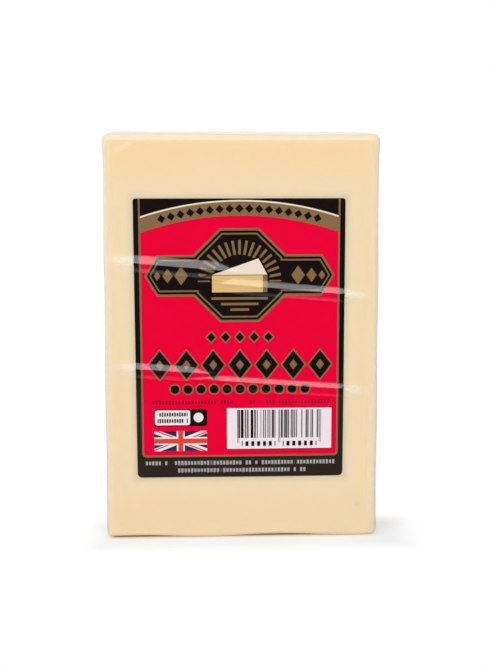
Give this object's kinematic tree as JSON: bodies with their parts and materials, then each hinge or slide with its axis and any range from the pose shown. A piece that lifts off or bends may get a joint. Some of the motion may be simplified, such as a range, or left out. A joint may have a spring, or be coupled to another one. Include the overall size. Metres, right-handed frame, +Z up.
{
  "type": "cheddar block",
  "caption": "Upright block of pale cheddar sealed tight in clear creased film, with a printed rectangular label across its front under the film.",
  "frame": {"origin": "on the ground under the middle of the block", "axes": "+Z up the block from the end it stands on, -Y out of the labelled front, +X to the right of someone facing the label"},
  "size_m": [0.0892, 0.034, 0.1319],
  "materials": {
    "cheddar": "pale cream cheddar seen through tight clear film",
    "label": "gloss paper printed red, black and gold",
    "film": "thin clear glossy film, creased"
  },
  "bodies": {
    "root": {"cheddar_block": "cheddar", "front_label": "label"}
  },
  "joints": []
}
